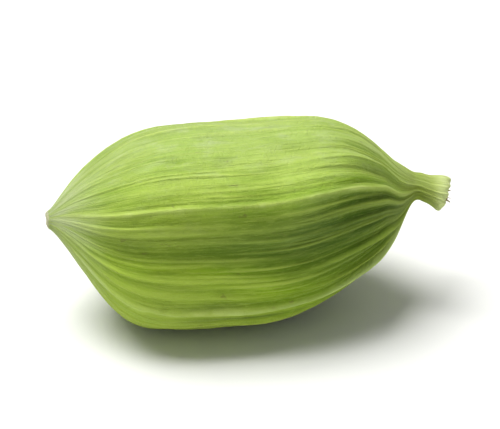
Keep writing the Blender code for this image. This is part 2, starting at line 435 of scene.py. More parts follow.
@dataclass
class NodeSheet:
    """Adds nodes to the node tree of a material or of a group, and links each as it is added.

    The last three fields are the places of the colour sockets on a Mix node.
    """

    tree: bpy.types.NodeTree
    mix_under: int = 6
    mix_over: int = 7
    mix_result: int = 2

    def add(self, kind: str, values: dict[str, Value] | None = None, **settings: object) -> bpy.types.Node:
        """Adds one node.

        Args:
            kind: Type of the node.
            values: Value or linked socket for each named input.
            settings: Settings of the node itself.

        Returns:
            The node.
        """
        node = self.tree.nodes.new(kind)
        for setting, choice in settings.items():
            setattr(node, setting, choice)
        for name, value in (values or {}).items():
            self.feed(node.inputs[name], value)
        return node

    def feed(self, socket: bpy.types.NodeSocket, value: Value) -> None:
        """Links a socket to another, or sets its own value.

        Args:
            socket: The socket that takes the value.
            value: Another socket, or a number, a colour or a vector.
        """
        if isinstance(value, bpy.types.NodeSocket):
            self.tree.links.new(value, socket)
        elif socket.type == "RGBA":
            socket.default_value = (*value, 1.0)
        else:
            socket.default_value = value

    def attribute(self, kept: Kept) -> bpy.types.NodeSocket:
        """A number kept at each point of the mesh."""
        return self.add("ShaderNodeAttribute", attribute_name=kept.value).outputs["Fac"]

    def grain(self) -> bpy.types.NodeSocket:
        """The place along and round the pod, in millimetres."""
        return self.add("ShaderNodeAttribute", attribute_name=Kept.GRAIN.value).outputs["Vector"]

    def calculate(self, step: Arithmetic, *values: Value, clamp: bool = False) -> bpy.types.NodeSocket:
        """Takes one step of arithmetic.

        Args:
            step: The step.
            values: The numbers that it works on.
            clamp: Whether its result is held between 0 and 1.

        Returns:
            The result.
        """
        node = self.add("ShaderNodeMath", operation=step.value, use_clamp=clamp)
        for socket, value in zip(node.inputs, values):
            self.feed(socket, value)
        return node.outputs["Value"]

    def product(self, first: Value, *others: Value) -> bpy.types.NodeSocket:
        """Multiplies numbers.

        Args:
            first: The first number.
            others: The numbers that it is multiplied by, one after another.

        Returns:
            The product.
        """
        total = first
        for other in others:
            total = self.calculate(Arithmetic.MULTIPLY, total, other)
        return total

    def raised(self, value: Value, gain: float, level: Value) -> bpy.types.NodeSocket:
        """A number times gain, on top of level."""
        return self.calculate(Arithmetic.MULTIPLY_ADD, value, gain, level)

    def stretch(self, vector: Value, scale: Value) -> bpy.types.NodeSocket:
        """A vector times another, side by side.

        Args:
            vector: The first vector.
            scale: The second.

        Returns:
            The stretched vector.
        """
        node = self.add("ShaderNodeVectorMath", operation="MULTIPLY")
        self.feed(node.inputs[0], vector)
        self.feed(node.inputs[1], scale)
        return node.outputs["Vector"]

    def noise(self, vector: Value, scale: Value, noise: Noise) -> bpy.types.NodeSocket:
        """A noise, from 0 to 1.

        Args:
            vector: Where in the noise each point is.
            scale: How many lumps of it there are to a unit.
            noise: What it is made of.

        Returns:
            The noise.
        """
        values = {"Vector": vector, "Scale": scale, "Detail": noise.detail, "Roughness": noise.roughness,
                  "Distortion": noise.distortion}
        return self.add("ShaderNodeTexNoise", values).outputs["Fac"]

    def group(self, tree: bpy.types.NodeTree, values: dict[str, Value]) -> bpy.types.Node:
        """Places a shared group with values of its own."""
        return self.add("ShaderNodeGroup", values, node_tree=tree)

    def span(self, value: Value, low: Value, high: Value) -> bpy.types.NodeSocket:
        """How far value is from low to high, eased, from 0 to 1."""
        values = {"Value": value, "From Min": low, "From Max": high}
        return self.add("ShaderNodeMapRange", values, interpolation_type="SMOOTHSTEP").outputs["Result"]

    def blend(self, share: Value, under: Value, over: Value) -> bpy.types.NodeSocket:
        """Lays one colour on another.

        Args:
            share: How much of the upper colour shows.
            under: The lower colour.
            over: The upper colour.

        Returns:
            The mixed colour.
        """
        node = self.add("ShaderNodeMix", {"Factor": share}, data_type="RGBA")
        self.feed(node.inputs[self.mix_under], under)
        self.feed(node.inputs[self.mix_over], over)
        return node.outputs[self.mix_result]

    def bump(self, height: Value, strength: float, distance: float) -> bpy.types.NodeSocket:
        """The normal of a surface roughened by a height, of which 1 stands for the distance."""
        values = {"Height": height, "Strength": strength, "Distance": distance}
        return self.add("ShaderNodeBump", values).outputs["Normal"]


def make_group(
    name: str, numbers: tuple[str, ...], results: tuple[str, ...],
) -> tuple[NodeSheet, bpy.types.NodeOutputs, bpy.types.NodeInputs]:
    """Starts a shader node group that reads the grain of a surface.

    Args:
        name: Name of the group.
        numbers: The numbers that each material gives it.
        results: The masks and heights that it gives back.

    Returns:
        The sheet of the group, the sockets that bring its inputs in, and the sockets that take its results.
    """
    tree = bpy.data.node_groups.new(name, "ShaderNodeTree")
    tree.interface.new_socket("Grain", in_out="INPUT", socket_type="NodeSocketVector")
    for number in numbers:
        tree.interface.new_socket(number, in_out="INPUT", socket_type="NodeSocketFloat")
    for result in results:
        tree.interface.new_socket(result, in_out="OUTPUT", socket_type="NodeSocketFloat")
    start = tree.nodes.new("NodeGroupInput")
    end = tree.nodes.new("NodeGroupOutput")
    return NodeSheet(tree), start.outputs, end.inputs


@dataclass(frozen=True)
class StrandLook:
    """How fine strands are across the pod, how much longer they run along it, and how sharp they are."""

    fineness: float
    length: float
    sharpness: float


@dataclass(frozen=True)
class MottleLook:
    """How large blotches are, and the levels of noise between which they fade in."""

    size: float
    low: float
    high: float


@dataclass
class PlantEffects:
    """The effects that the materials of the pod share, each a node group."""

    strand_noise: Noise = Noise(3.0, 0.6, 0.0)
    strand_level: float = 0.58
    strand_edge: float = 0.2
    mottle_noise: Noise = Noise(4.0, 0.55, 0.4)
    mottle_stretch: Triple = (0.45, 1.0, 1.0)
    crinkle_noise: Noise = Noise(5.0, 0.62, 1.1)
    crinkle_stretch: Triple = (1.0, 0.6, 0.6)
    crinkle_fold: float = 0.5
    crinkle_height: float = 3.0
    strands: bpy.types.NodeTree = field(init=False)
    mottle: bpy.types.NodeTree = field(init=False)
    crinkle: bpy.types.NodeTree = field(init=False)

    def __post_init__(self) -> None:
        """Builds the groups."""
        self.strands = self._make_strands()
        self.mottle = self._make_mottle()
        self.crinkle = self._make_crinkle()

    def _make_strands(self) -> bpy.types.NodeTree:
        """Fine strands that run along the pod.

        Returns:
            The group, which gives them as a mask and as a height.
        """
        sheet, given, taken = make_group("strands", ("Fineness", "Length", "Sharpness"), ("Mask", "Height"))
        along = sheet.calculate(Arithmetic.DIVIDE, given["Fineness"], given["Length"])
        across = given["Fineness"]
        scale = sheet.add("ShaderNodeCombineXYZ", {"X": along, "Y": across, "Z": across})
        placed = sheet.stretch(given["Grain"], scale.outputs["Vector"])
        height = sheet.noise(placed, 1.0, self.strand_noise)
        edge = sheet.calculate(Arithmetic.DIVIDE, self.strand_edge, given["Sharpness"])
        low = sheet.calculate(Arithmetic.SUBTRACT, self.strand_level, edge)
        high = sheet.calculate(Arithmetic.ADD, self.strand_level, edge)
        sheet.feed(taken["Mask"], sheet.span(height, low, high))
        sheet.feed(taken["Height"], height)
        return sheet.tree

    def _make_mottle(self) -> bpy.types.NodeTree:
        """Soft blotches, longer along the pod than across it.

        Returns:
            The group, which gives them as a mask.
        """
        sheet, given, taken = make_group("mottle", ("Size", "Low", "High"), ("Mask",))
        scale = sheet.calculate(Arithmetic.DIVIDE, 1.0, given["Size"])
        placed = sheet.stretch(given["Grain"], self.mottle_stretch)
        noise = sheet.noise(placed, scale, self.mottle_noise)
        sheet.feed(taken["Mask"], sheet.span(noise, given["Low"], given["High"]))
        return sheet.tree

    def _make_crinkle(self) -> bpy.types.NodeTree:
        """Papery crinkles, which run rather across the pod than along it.

        Returns:
            The group, which gives them as a height.
        """
        sheet, given, taken = make_group("crinkle", ("Size",), ("Height",))
        scale = sheet.calculate(Arithmetic.DIVIDE, 1.0, given["Size"])
        placed = sheet.stretch(given["Grain"], self.crinkle_stretch)
        noise = sheet.noise(placed, scale, self.crinkle_noise)
        over = sheet.calculate(Arithmetic.SUBTRACT, noise, self.crinkle_fold)
        folded = sheet.calculate(Arithmetic.ABSOLUTE, over)
        sheet.feed(taken["Height"], sheet.product(folded, self.crinkle_height))
        return sheet.tree

    def lay_strands(self, sheet: NodeSheet, grain: Value, look: StrandLook) -> bpy.types.NodeOutputs:
        """Lays fine strands in a material.

        Args:
            sheet: The sheet of the material.
            grain: The place in the husk's grain.
            look: How they look.

        Returns:
            Their outputs, Mask and Height.
        """
        values = {"Grain": grain, "Fineness": look.fineness, "Length": look.length,
                  "Sharpness": look.sharpness}
        return sheet.group(self.strands, values).outputs

    def lay_mottle(self, sheet: NodeSheet, grain: Value, look: MottleLook) -> bpy.types.NodeSocket:
        """Lays soft blotches in a material.

        Args:
            sheet: The sheet of the material.
            grain: The place in the husk's grain.
            look: How they look.

        Returns:
            Their mask.
        """
        values = {"Grain": grain, "Size": look.size, "Low": look.low, "High": look.high}
        return sheet.group(self.mottle, values).outputs["Mask"]

    def lay_crinkle(self, sheet: NodeSheet, grain: Value, size: float) -> bpy.types.NodeSocket:
        """Papery crinkles of a size in a material, as a height."""
        return sheet.group(self.crinkle, {"Grain": grain, "Size": size}).outputs["Height"]


def start_material(name: str) -> tuple[bpy.types.Material, NodeSheet, bpy.types.NodeInputs]:
    """Starts a material.

    Args:
        name: Its name.

    Returns:
        The material, the sheet of its nodes, and the sockets of its shader.
    """
    material = bpy.data.materials.new(name)
    material.use_nodes = True
    shader = material.node_tree.nodes["Principled BSDF"]
    return material, NodeSheet(material.node_tree), shader.inputs


class Mask(Enum):
    """Where a coat of colour shows on the husk."""

    CLOUDS = auto()
    PAINTED_LIGHT_AND_SHADE = auto()
    PAINTED_GROOVE_SHADE = auto()
    FRECKLES = auto()
    STREAKS = auto()
    MARKS = auto()
    STRANDS = auto()
    HAIRS = auto()
    VEINS = auto()
    CRESTS = auto()
    SEAMS = auto()
    WORN_AND_LIT_SEAM = auto()
    DUST_AND_SHEEN_ON_TOP = auto()
    NECK = auto()
    BEAK = auto()
    RIM = auto()
    BASE = auto()


@dataclass(frozen=True)
class Coat:
    """One coat of colour: where it shows, how strongly, and what colour it is.

    A negative strength lays it where the mask is negative.
    """

    mask: Mask
    strength: float
    colour: Colour


@dataclass(frozen=True)
class HuskFinish:
    """Dry green husk, pale on the ribs and straw at both ends, with painted shade, light and sheen.

    The coats lie on the plain green in their order. A pair is the range over which something fades in: along
    the pod from 0 at the base to 1 at the tip of the beak, and for the hollow from 0 outside it over 1 at
    its brim to 2 at its floor. The scar's pair lies just before the base, where its disc stands out.
    """

    green: Colour = (0.262, 0.43, 0.010)
    # Colour of the painted shade in the grooves, wrinkles and dents; it also lays the real darker freckles
    # and streaks.
    groove_shade: Colour = (0.052, 0.112, 0.001)
    # Colour of the painted shade in patches: a deeper green, partly the pod's own tone.
    painted_shade_green: Colour = (0.060, 0.126, 0.001)
    pale: Colour = (0.44, 0.57, 0.088)
    yellowed: Colour = (0.36, 0.44, 0.035)
    seam: Colour = (0.56, 0.68, 0.19)
    straw: Colour = (0.53, 0.64, 0.17)
    rim: Colour = (0.74, 0.85, 0.36)
    # Whitish colour of the real bloom and dust, and of the painted sheen on the top.
    bloom_and_sheen: Colour = (0.50, 0.57, 0.32)
    # Pale colour of the worn lower seam, and of the painted highlight on it towards the beak.
    bare_and_lit: Colour = (0.50, 0.64, 0.20)
    mark: Colour = (0.13, 0.12, 0.02)
    scar: Colour = (0.58, 0.57, 0.36)
    hollow: Colour = (0.13, 0.08, 0.025)
    coats: tuple[Coat, ...] = (
        Coat(Mask.CLOUDS, 0.4, yellowed),
        # Painted light: paler patches.
        Coat(Mask.PAINTED_LIGHT_AND_SHADE, 0.55, pale),
        # Painted shade: deeper green patches.
        Coat(Mask.PAINTED_LIGHT_AND_SHADE, -0.58, painted_shade_green),
        # Painted shade in the grooves, in the hollows of wrinkles and in dents.
        Coat(Mask.PAINTED_GROOVE_SHADE, 0.54, groove_shade),
        Coat(Mask.FRECKLES, 0.23, groove_shade),
        Coat(Mask.STREAKS, 0.17, groove_shade),
        Coat(Mask.MARKS, 0.6, mark),
        Coat(Mask.STRANDS, 0.3, pale),
        Coat(Mask.HAIRS, 0.26, pale),
        Coat(Mask.VEINS, 0.4, pale),
        Coat(Mask.CRESTS, 0.65, pale),
        # Painted shade again, laid over the pale ribs.
        Coat(Mask.PAINTED_LIGHT_AND_SHADE, -0.3, painted_shade_green),
        Coat(Mask.SEAMS, 1.0, seam),
        # Worn lower seam, with a painted highlight towards the beak.
        Coat(Mask.WORN_AND_LIT_SEAM, 0.9, bare_and_lit),
        # Dust, over an even painted sheen, on the top.
        Coat(Mask.DUST_AND_SHEEN_ON_TOP, 1.0, bloom_and_sheen),
        Coat(Mask.NECK, 0.2, yellowed),
        Coat(Mask.BEAK, 0.85, straw),
        Coat(Mask.RIM, 0.85, rim),
        Coat(Mask.BASE, 1.0, bloom_and_sheen),
    )
    strands: StrandLook = StrandLook(7.0, 22.0, 2.2)
    hairs: StrandLook = StrandLook(13.0, 8.0, 3.4)
    streaks: StrandLook = StrandLook(3.4, 11.0, 1.5)
    seam_dashes: StrandLook = StrandLook(1.1, 1.6, 1.6)
    clouds: MottleLook = MottleLook(4.5, 0.42, 0.66)
    freckles: MottleLook = MottleLook(0.8, 0.5, 0.72)
    dust_and_sheen: MottleLook = MottleLook(0.5, 0.45, 0.75)
    marks: MottleLook = MottleLook(0.4, 0.66, 0.72)
    wear: MottleLook = MottleLook(0.9, 0.38, 0.62)
    seam_dashes_gain: float = 0.65
    seam_least: float = 0.12
    wear_gain: float = 0.6
    # Where the painted highlight on the lower seam fades in towards the beak.
    lit_seam_span: Pair = (0.55, 0.72)
    dust_gain: float = 0.26
    even_top_sheen: float = 0.32
    dust_and_sheen_kept_off: float = 0.8
    neck: Pair = (0.86, 0.93)
    beak: Pair = (0.925, 0.985)
    beak_rim: Pair = (0.96, 0.99)
    base: Pair = (0.15, 0.0)
    base_wear_gain: float = 0.5
    base_least: float = 0.25
    scar_edge: Pair = (0.0, -0.004)
    hollow_edge: Pair = (0.55, 1.2)
    roughness_low: float = 0.5
    roughness_high: float = 0.74
    hair_height: float = 0.9
    crinkle_height: float = 0.55
    crinkle_size: float = 0.22
    bump_strength: float = 0.75
    bump_distance: float = 0.085 * MM
    subsurface: float = 0.15
    subsurface_radius: Triple = (0.9, 1.0, 0.3)
    subsurface_depth: float = 0.4 * MM
    specular: float = 0.14
    sheen: float = 0.24
    sheen_tint: Colour = (0.86, 1.0, 0.34)
    sheen_roughness: float = 0.3

    def make(self, effects: PlantEffects) -> bpy.types.Material:
        """Makes the material.

        Args:
            effects: The shared node groups.

        Returns:
            The material.
        """
        material, sheet, shader = start_material("green_husk")
        grain = sheet.grain()
        strands = effects.lay_strands(sheet, grain, self.strands)
        hairs = effects.lay_strands(sheet, grain, self.hairs)
        freckles = effects.lay_mottle(sheet, grain, self.freckles)
        masks = {
            Mask.CLOUDS: effects.lay_mottle(sheet, grain, self.clouds),
            Mask.PAINTED_LIGHT_AND_SHADE: sheet.attribute(Kept.LIGHT_AND_SHADE),
            Mask.PAINTED_GROOVE_SHADE: sheet.attribute(Kept.SHADE_IN_GROOVES),
            Mask.FRECKLES: freckles,
            Mask.STREAKS: effects.lay_strands(sheet, grain, self.streaks)["Mask"],
            Mask.MARKS: effects.lay_mottle(sheet, grain, self.marks),
            Mask.STRANDS: strands["Mask"],
            Mask.HAIRS: hairs["Mask"],
            Mask.VEINS: sheet.attribute(Kept.VEIN),
            Mask.CRESTS: sheet.attribute(Kept.CREST),
        }
        masks |= self._worn_places(sheet, effects, grain)
        colour = self.green
        for coat in self.coats:
            share = sheet.calculate(Arithmetic.MULTIPLY, masks[coat.mask], coat.strength, clamp=True)
            colour = sheet.blend(share, colour, coat.colour)
        bark = sheet.blend(freckles, self.scar, self.bloom_and_sheen)
        on_scar = sheet.span(sheet.attribute(Kept.ALONG), *self.scar_edge)
        in_hollow = sheet.span(sheet.attribute(Kept.INSIDE), *self.hollow_edge)
        colour = sheet.blend(in_hollow, sheet.blend(on_scar, colour, bark), self.hollow)
        sheet.feed(shader["Base Color"], colour)
        rougher = self.roughness_high - self.roughness_low
        sheet.feed(shader["Roughness"], sheet.raised(strands["Height"], rougher, self.roughness_low))
        height = sheet.raised(hairs["Height"], self.hair_height, strands["Height"])
        crinkle = effects.lay_crinkle(sheet, grain, self.crinkle_size)
        height = sheet.raised(crinkle, self.crinkle_height, height)
        sheet.feed(shader["Normal"], sheet.bump(height, self.bump_strength, self.bump_distance))
        shader["Subsurface Weight"].default_value = self.subsurface
        shader["Subsurface Radius"].default_value = self.subsurface_radius
        shader["Subsurface Scale"].default_value = self.subsurface_depth
        shader["Specular IOR Level"].default_value = self.specular
        shader["Sheen Weight"].default_value = self.sheen
        shader["Sheen Tint"].default_value = (*self.sheen_tint, 1.0)
        shader["Sheen Roughness"].default_value = self.sheen_roughness
        return material

    def _worn_places(
        self, sheet: NodeSheet, effects: PlantEffects, grain: Value,
    ) -> dict[Mask, bpy.types.NodeSocket]:
        """The masks of the seams, with wear and a painted highlight on the lower one, of the dust and
        painted sheen on the top, and of both ends.

        Args:
            sheet: The sheet of the material.
            effects: The shared node groups.
            grain: The place in the husk's grain.

        Returns:
            Each mask.
        """
        seam = sheet.attribute(Kept.SEAM)
        along = sheet.attribute(Kept.ALONG)
        dashes = effects.lay_strands(sheet, grain, self.seam_dashes)["Mask"]
        wear = effects.lay_mottle(sheet, grain, self.wear)
        # Real wear in blotches, and a painted highlight along the lower seam towards the beak.
        worn_and_lit = sheet.calculate(
            Arithmetic.MAXIMUM, sheet.product(wear, self.wear_gain), sheet.span(along, *self.lit_seam_span),
        )
        # Dust blotches over an even painted sheen on the top, kept off the grooves.
        dust_and_sheen = sheet.raised(effects.lay_mottle(sheet, grain, self.dust_and_sheen), self.dust_gain, self.even_top_sheen)
        in_groove = sheet.calculate(
            Arithmetic.MULTIPLY, sheet.attribute(Kept.SHADE_IN_GROOVES), self.dust_and_sheen_kept_off, clamp=True,
        )
        on_ribs = sheet.calculate(Arithmetic.SUBTRACT, 1.0, in_groove)
        blotched = sheet.raised(wear, self.base_wear_gain, self.base_least)
        return {
            Mask.SEAMS: sheet.product(seam, sheet.raised(dashes, self.seam_dashes_gain, self.seam_least)),
            Mask.WORN_AND_LIT_SEAM: sheet.product(seam, seam, sheet.attribute(Kept.LOWER_SEAM), worn_and_lit),
            Mask.DUST_AND_SHEEN_ON_TOP: sheet.product(dust_and_sheen, on_ribs, sheet.attribute(Kept.DUST_AND_SHEEN_TOP)),
            Mask.NECK: sheet.span(along, *self.neck),
            Mask.BEAK: sheet.span(along, *self.beak),
            Mask.RIM: sheet.span(along, *self.beak_rim),
            Mask.BASE: sheet.product(sheet.span(along, *self.base), blotched),
        }


@dataclass(frozen=True)
class ShredFinish:
    """Papery dry petals: pale straw, browned in streaks and patches."""

    straw: Colour = (0.56, 0.50, 0.27)
    browned: Colour = (0.28, 0.18, 0.07)
    streaks: StrandLook = StrandLook(14.0, 6.0, 1.6)
    patches: MottleLook = MottleLook(0.35, 0.4, 0.65)
    streak_share: float = 0.5
    patch_share: float = 0.7
    roughness: float = 0.75
    bump_strength: float = 0.5
    bump_distance: float = 0.02 * MM

    def make(self, effects: PlantEffects) -> bpy.types.Material:
        """Makes the material.

        Args:
            effects: The shared node groups.

        Returns:
            The material.
        """
        material, sheet, shader = start_material("dry_petal")
        place = sheet.add("ShaderNodeTexCoord").outputs["Object"]
        grain = sheet.stretch(place, (1 / MM, 1 / MM, 1 / MM))
        streaks = effects.lay_strands(sheet, grain, self.streaks)
        patches = effects.lay_mottle(sheet, grain, self.patches)
        colour = sheet.blend(sheet.product(patches, self.patch_share), self.straw, self.browned)
        colour = sheet.blend(sheet.product(streaks["Mask"], self.streak_share), colour, self.browned)
        sheet.feed(shader["Base Color"], colour)
        sheet.feed(shader["Normal"], sheet.bump(streaks["Height"], self.bump_strength, self.bump_distance))
        shader["Roughness"].default_value = self.roughness
        return material


def place_object(name: str, data: bpy.types.ID) -> bpy.types.Object:
    """Puts an object in the scene.

    Args:
        name: Its name.
        data: Its mesh, light or camera.

    Returns:
        The object.
    """
    ob = bpy.data.objects.new(name, data)
    bpy.context.scene.collection.objects.link(ob)
    return ob


def place_mesh(name: str, points: list, faces: list[tuple[int, ...]]) -> bpy.types.Object:
    """Puts a new mesh in the scene.

    Args:
        name: Name of the mesh and of its object.
        points: Its points.
        faces: The numbers of each face's points.

    Returns:
        The object.
    """
    mesh = bpy.data.meshes.new(name)
    mesh.from_pydata(points, [], faces)
    return place_object(name, mesh)


@dataclass(frozen=True)
class HuskGrid:
    """The grid that the husk is laid on.

    x, radius and inside are columns of one number for each row along the pod: its place, its mean radius,
    and how far it is in the hollow, from 0 outside over 1 at its brim to 2 at its floor. angle is a row of
    the angles round the pod.
    """

    x: np.ndarray
    radius: np.ndarray
    inside: np.ndarray
    angle: np.ndarray

    @property
    def shape(self) -> tuple[int, int]:
        """Number of rows and of columns."""
        return len(self.x), self.angle.size

    def fullness(self, full: float) -> np.ndarray:
        """How much of a full radius each row has, up to 1."""
        return np.minimum(1.0, self.radius / full)


@dataclass(frozen=True)
class Relief:
    """Ribs, seams or veins at each point of the grid.

    height is how high they stand. crest and seam tell how near the point is to a top line and to a seam's,
    and groove_shade how much painted shade it gets where it lies low between two, each from 0 to about 1.
    """

    height: np.ndarray
    crest: np.ndarray
    seam: np.ndarray
    groove_shade: np.ndarray

    @classmethod
    def flat(cls, shape: tuple[int, int]) -> Relief:
        """No relief yet, over a grid of that shape."""
        return cls(np.zeros(shape), np.zeros(shape), np.zeros(shape), np.zeros(shape))


@dataclass(frozen=True)
class Texture:
    """How the husk dried at each point of the grid.

    fine, wrinkles and broad are relief of three sizes, and dents is how far it has sunk in. unbroken is how
    strongly the ribs run on there, from about 0 to 2, and calm is how much of the small relief is left, up
    to 1.
    """

    fine: np.ndarray
    wrinkles: np.ndarray
    broad: np.ndarray
    dents: np.ndarray
    unbroken: np.ndarray
    calm: np.ndarray


@dataclass
class HuskSkin:
    """The husk as one fine closed mesh, with what its finish needs to know kept at each point.

    A patch of calm takes its amount off the small relief. A patch of painted light and shade makes the husk
    paler there, as painted light, or a deeper green where its amount is negative, as painted shade; partly
    they are the pod's own uneven tone. A pair is a range that numbers are drawn from, apart from
    pock_stretch, which is how far a pock reaches along the pod and round it. offset is the move that sets
    the husk over the frame, and it is known once the husk is built.
    """

    shape: PodShape
    finish: HuskFinish = HuskFinish()
    # The grid, whose rows crowd together at both ends of the body.
    columns: int = 540
    scar_rows: int = 9
    body_rows: int = 128
    beak_rows: int = 20
    lip_rows: int = 8
    hollow_rows: int = 8
    row_crowding: float = 0.5
    # The scar's disc, which stands out less in its middle than at its brim, and the floor of the hollow.
    scar_middle: float = 0.35
    scar_brim: float = 0.63
    scar_swell_power: float = 1.5
    scar_round_power: float = 0.7
    scar_spread_power: float = 0.9
    hollow_round_power: float = 0.6
    smallest_ring: float = 0.06
    # The ribs and seams. A rib as high as strong_rib has the palest crest and full painted shade in the
    # groove beside it.
    ridge_width: float = 0.095 * MM
    ridge_width_change: float = 0.3
    ridge_width_waves: int = 5
    swell_power: float = 1.4
    strong_rib: float = 0.1 * MM
    darkest_groove_shade: float = 1.2
    groove_shade_at_neck: float = 0.3
    slim_seam: float = 0.115 * MM
    broad_share: float = 0.26
    crest_wander: float = 0.9 * DEGREE
    crest_waves: float = 0.8
    crest_lag: float = 0.31
    # The thin veins between them.
    veins_between: int = 3
    vein_jitter: float = 0.3
    vein_height: float = 0.035 * MM
    vein_heights: Pair = (0.3, 1.3)
    vein_unevenness: float = 0.8
    vein_width: float = 0.06 * MM
    vein_seed: int = 11
    # What varies by chance: waves round and along the pod, height and seed. The height of breaks is a share.
    fine_ribs: Ripple = Ripple(160, 10, 0.07 * MM, 21)
    fibres: Ripple = Ripple(250, 22, 0.03 * MM, 22)
    creases: Ripple = Ripple(70, 110, 0.022 * MM, 23)
    wrinkles: Ripple = Ripple(62, 15, 0.115 * MM, 26)
    breaks: Ripple = Ripple(26, 10, 1.6, 27)
    rim_tear: Ripple = Ripple(19, 1, 0.30 * MM, 28)
    scar_bumps: Ripple = Ripple(16, 60, 0.09 * MM, 29)
    seed_swells: Ripple = Ripple(10, 6, 0.15 * MM, 262)
    broad_dents: Ripple = Ripple(5, 4, 0.20 * MM, 212)
    # How far the ribs fade where they break, and where the husk is calm.
    weakest_rib: float = 0.1
    seam_evenness: float = 0.45
    calm_breaks: float = 0.4
    calm_ribs: float = 0.45
    # How deep a wrinkle or a dent is where its painted shade is darkest, and how much of it is added to the
    # grooves' painted shade.
    deep_wrinkle: float = 0.045 * MM
    deep_dent: float = 0.15 * MM
    darkest_dent: float = 1.5
    sunk_shade_share: float = 0.5
    # The small pocks.
    pock_count: int = 30
    pock_depth: float = 0.06 * MM
    pock_depths: Pair = (0.5, 1.4)
    pock_reach: float = 0.34 * MM
    pock_reaches: Pair = (0.6, 1.4)
    pock_stretch: Pair = (1.3, 0.75)
    pock_places: Pair = (0.1, 0.85)
    pock_seed: int = 33
    # Where the husk is dusty and has painted sheen on its top, and how near the lower seam it is worn and
    # painted with a highlight.
    dust_and_sheen_angle: float = 100 * DEGREE
    dust_and_sheen_spread: float = 58 * DEGREE
    lower_seam_spread: float = 8 * DEGREE
    calm: tuple[Patch, ...] = (
        Patch(84 * DEGREE, 42 * DEGREE, 8.0 * MM, 30.0 * MM, 0.55),
        Patch(335 * DEGREE, 50 * DEGREE, 2.5 * MM, 5.0 * MM, 0.62),
        Patch(345 * DEGREE, 38 * DEGREE, 13.5 * MM, 4.0 * MM, 0.5),
    )
    # Painted light where the amount is positive, painted shade where it is negative, partly the pod's own
    # uneven tone.
    painted_light_and_shade: tuple[Patch, ...] = (
        Patch(20 * DEGREE, 19 * DEGREE, 14.6 * MM, 4.0 * MM, -1.5),
        Patch(16 * DEGREE, 17 * DEGREE, 10.0 * MM, 3.2 * MM, -0.4),
        Patch(335 * DEGREE, 18 * DEGREE, 15.8 * MM, 2.2 * MM, -0.8),
        Patch(12 * DEGREE, 13 * DEGREE, 6.5 * MM, 4.0 * MM, -0.8),
        Patch(346 * DEGREE, 22 * DEGREE, 4.5 * MM, 6.0 * MM, 1.0),
        Patch(75 * DEGREE, 32 * DEGREE, 10.0 * MM, 6.0 * MM, 0.45),
        Patch(85 * DEGREE, 42 * DEGREE, 4.5 * MM, 5.5 * MM, -0.36),
        Patch(150 * DEGREE, 30 * DEGREE, 11.0 * MM, 5.0 * MM, -0.5),
        Patch(205 * DEGREE, 25 * DEGREE, 4.0 * MM, 4.0 * MM, 0.5),
        Patch(285 * DEGREE, 28 * DEGREE, 10.0 * MM, 5.0 * MM, -0.4),
        Patch(356 * DEGREE, 26 * DEGREE, 12.5 * MM, 4.5 * MM, -0.9),
        Patch(58 * DEGREE, 18 * DEGREE, 10.0 * MM, 5.0 * MM, 0.6),
        Patch(306 * DEGREE, 24 * DEGREE, 5.5 * MM, 5.5 * MM, 1.3),
        Patch(14 * DEGREE, 32 * DEGREE, 2.3 * MM, 1.7 * MM, -0.45),
    )
    offset: np.ndarray = field(init=False)

    def build(self) -> bpy.types.Object:
        """Makes the husk, and keeps the move that sets it over the frame.

        Returns:
            The object, its flat spot at z = 0 and the middle of its box over the frame's.
        """
        grid = self.grid()
        ribs = self.ridges(self.shape.crests(), grid, self.ridge_width, self.broad_share)
        veins = self.ridges(self.veins(), grid, self.vein_width, 0.0)
        texture = self.texture(grid)
        points = self.points(grid, ribs, veins, texture)
        self.offset = self.offset_over_frame(points)
        husk = self.closed_mesh("pod_husk", self.rest_on_spot(points + self.offset))
        self.keep(husk, self.kept_values(grid, ribs, veins, texture), grid)
        return husk

    def dress(self, husk: bpy.types.Object, effects: PlantEffects) -> None:
        """Gives the husk its finish."""
        husk.data.materials.append(self.finish.make(effects))

    def grid(self) -> HuskGrid:
        """The grid, whose rows run from the middle of the scar over the body to the floor of the hollow.

        Returns:
            The grid.
        """
        shape = self.shape
        share = np.linspace(0.0, 1.0, self.body_rows)
        body_x = shape.body_length * (share - self.row_crowding * np.sin(math.tau * share) / math.tau)
        beak_end = shape.length - shape.lip
        beak_x = np.linspace(shape.body_length, beak_end, self.beak_rows + 1)[1:]
        rim_radius = float(shape.radius_at(np.array([beak_end]))[0])
        over = np.linspace(0.0, math.pi, self.lip_rows + 1)[1:]
        lip_x = beak_end + shape.lip * np.sin(over)
        lip_middle = (rim_radius + shape.hollow_radius) / 2
        lip_radius = lip_middle + (rim_radius - shape.hollow_radius) / 2 * np.cos(over)
        down = np.linspace(0.0, 1.0, self.hollow_rows + 1)[1:]
        hollow_x = beak_end - (shape.hollow_depth - shape.lip) * np.sin(down * math.pi / 2)
        narrowed = np.cos(down * math.pi / 2) ** self.hollow_round_power
        hollow_radius = shape.hollow_radius * np.maximum(self.smallest_ring, narrowed)
        scar_x, scar_radius = self.scar_profile()
        before_lip = len(scar_x) + len(body_x) + len(beak_x)
        rows = (
            np.concatenate([scar_x, body_x, beak_x, lip_x, hollow_x]),
            np.concatenate([
                scar_radius, shape.radius_at(body_x), shape.radius_at(beak_x), lip_radius, hollow_radius,
            ]),
            np.concatenate([np.zeros(before_lip), over / math.pi, 1 + down]),
        )
        angle = np.linspace(0.0, math.tau, self.columns, endpoint=False)
        return HuskGrid(*(row[:, None] for row in rows), angle[None, :])

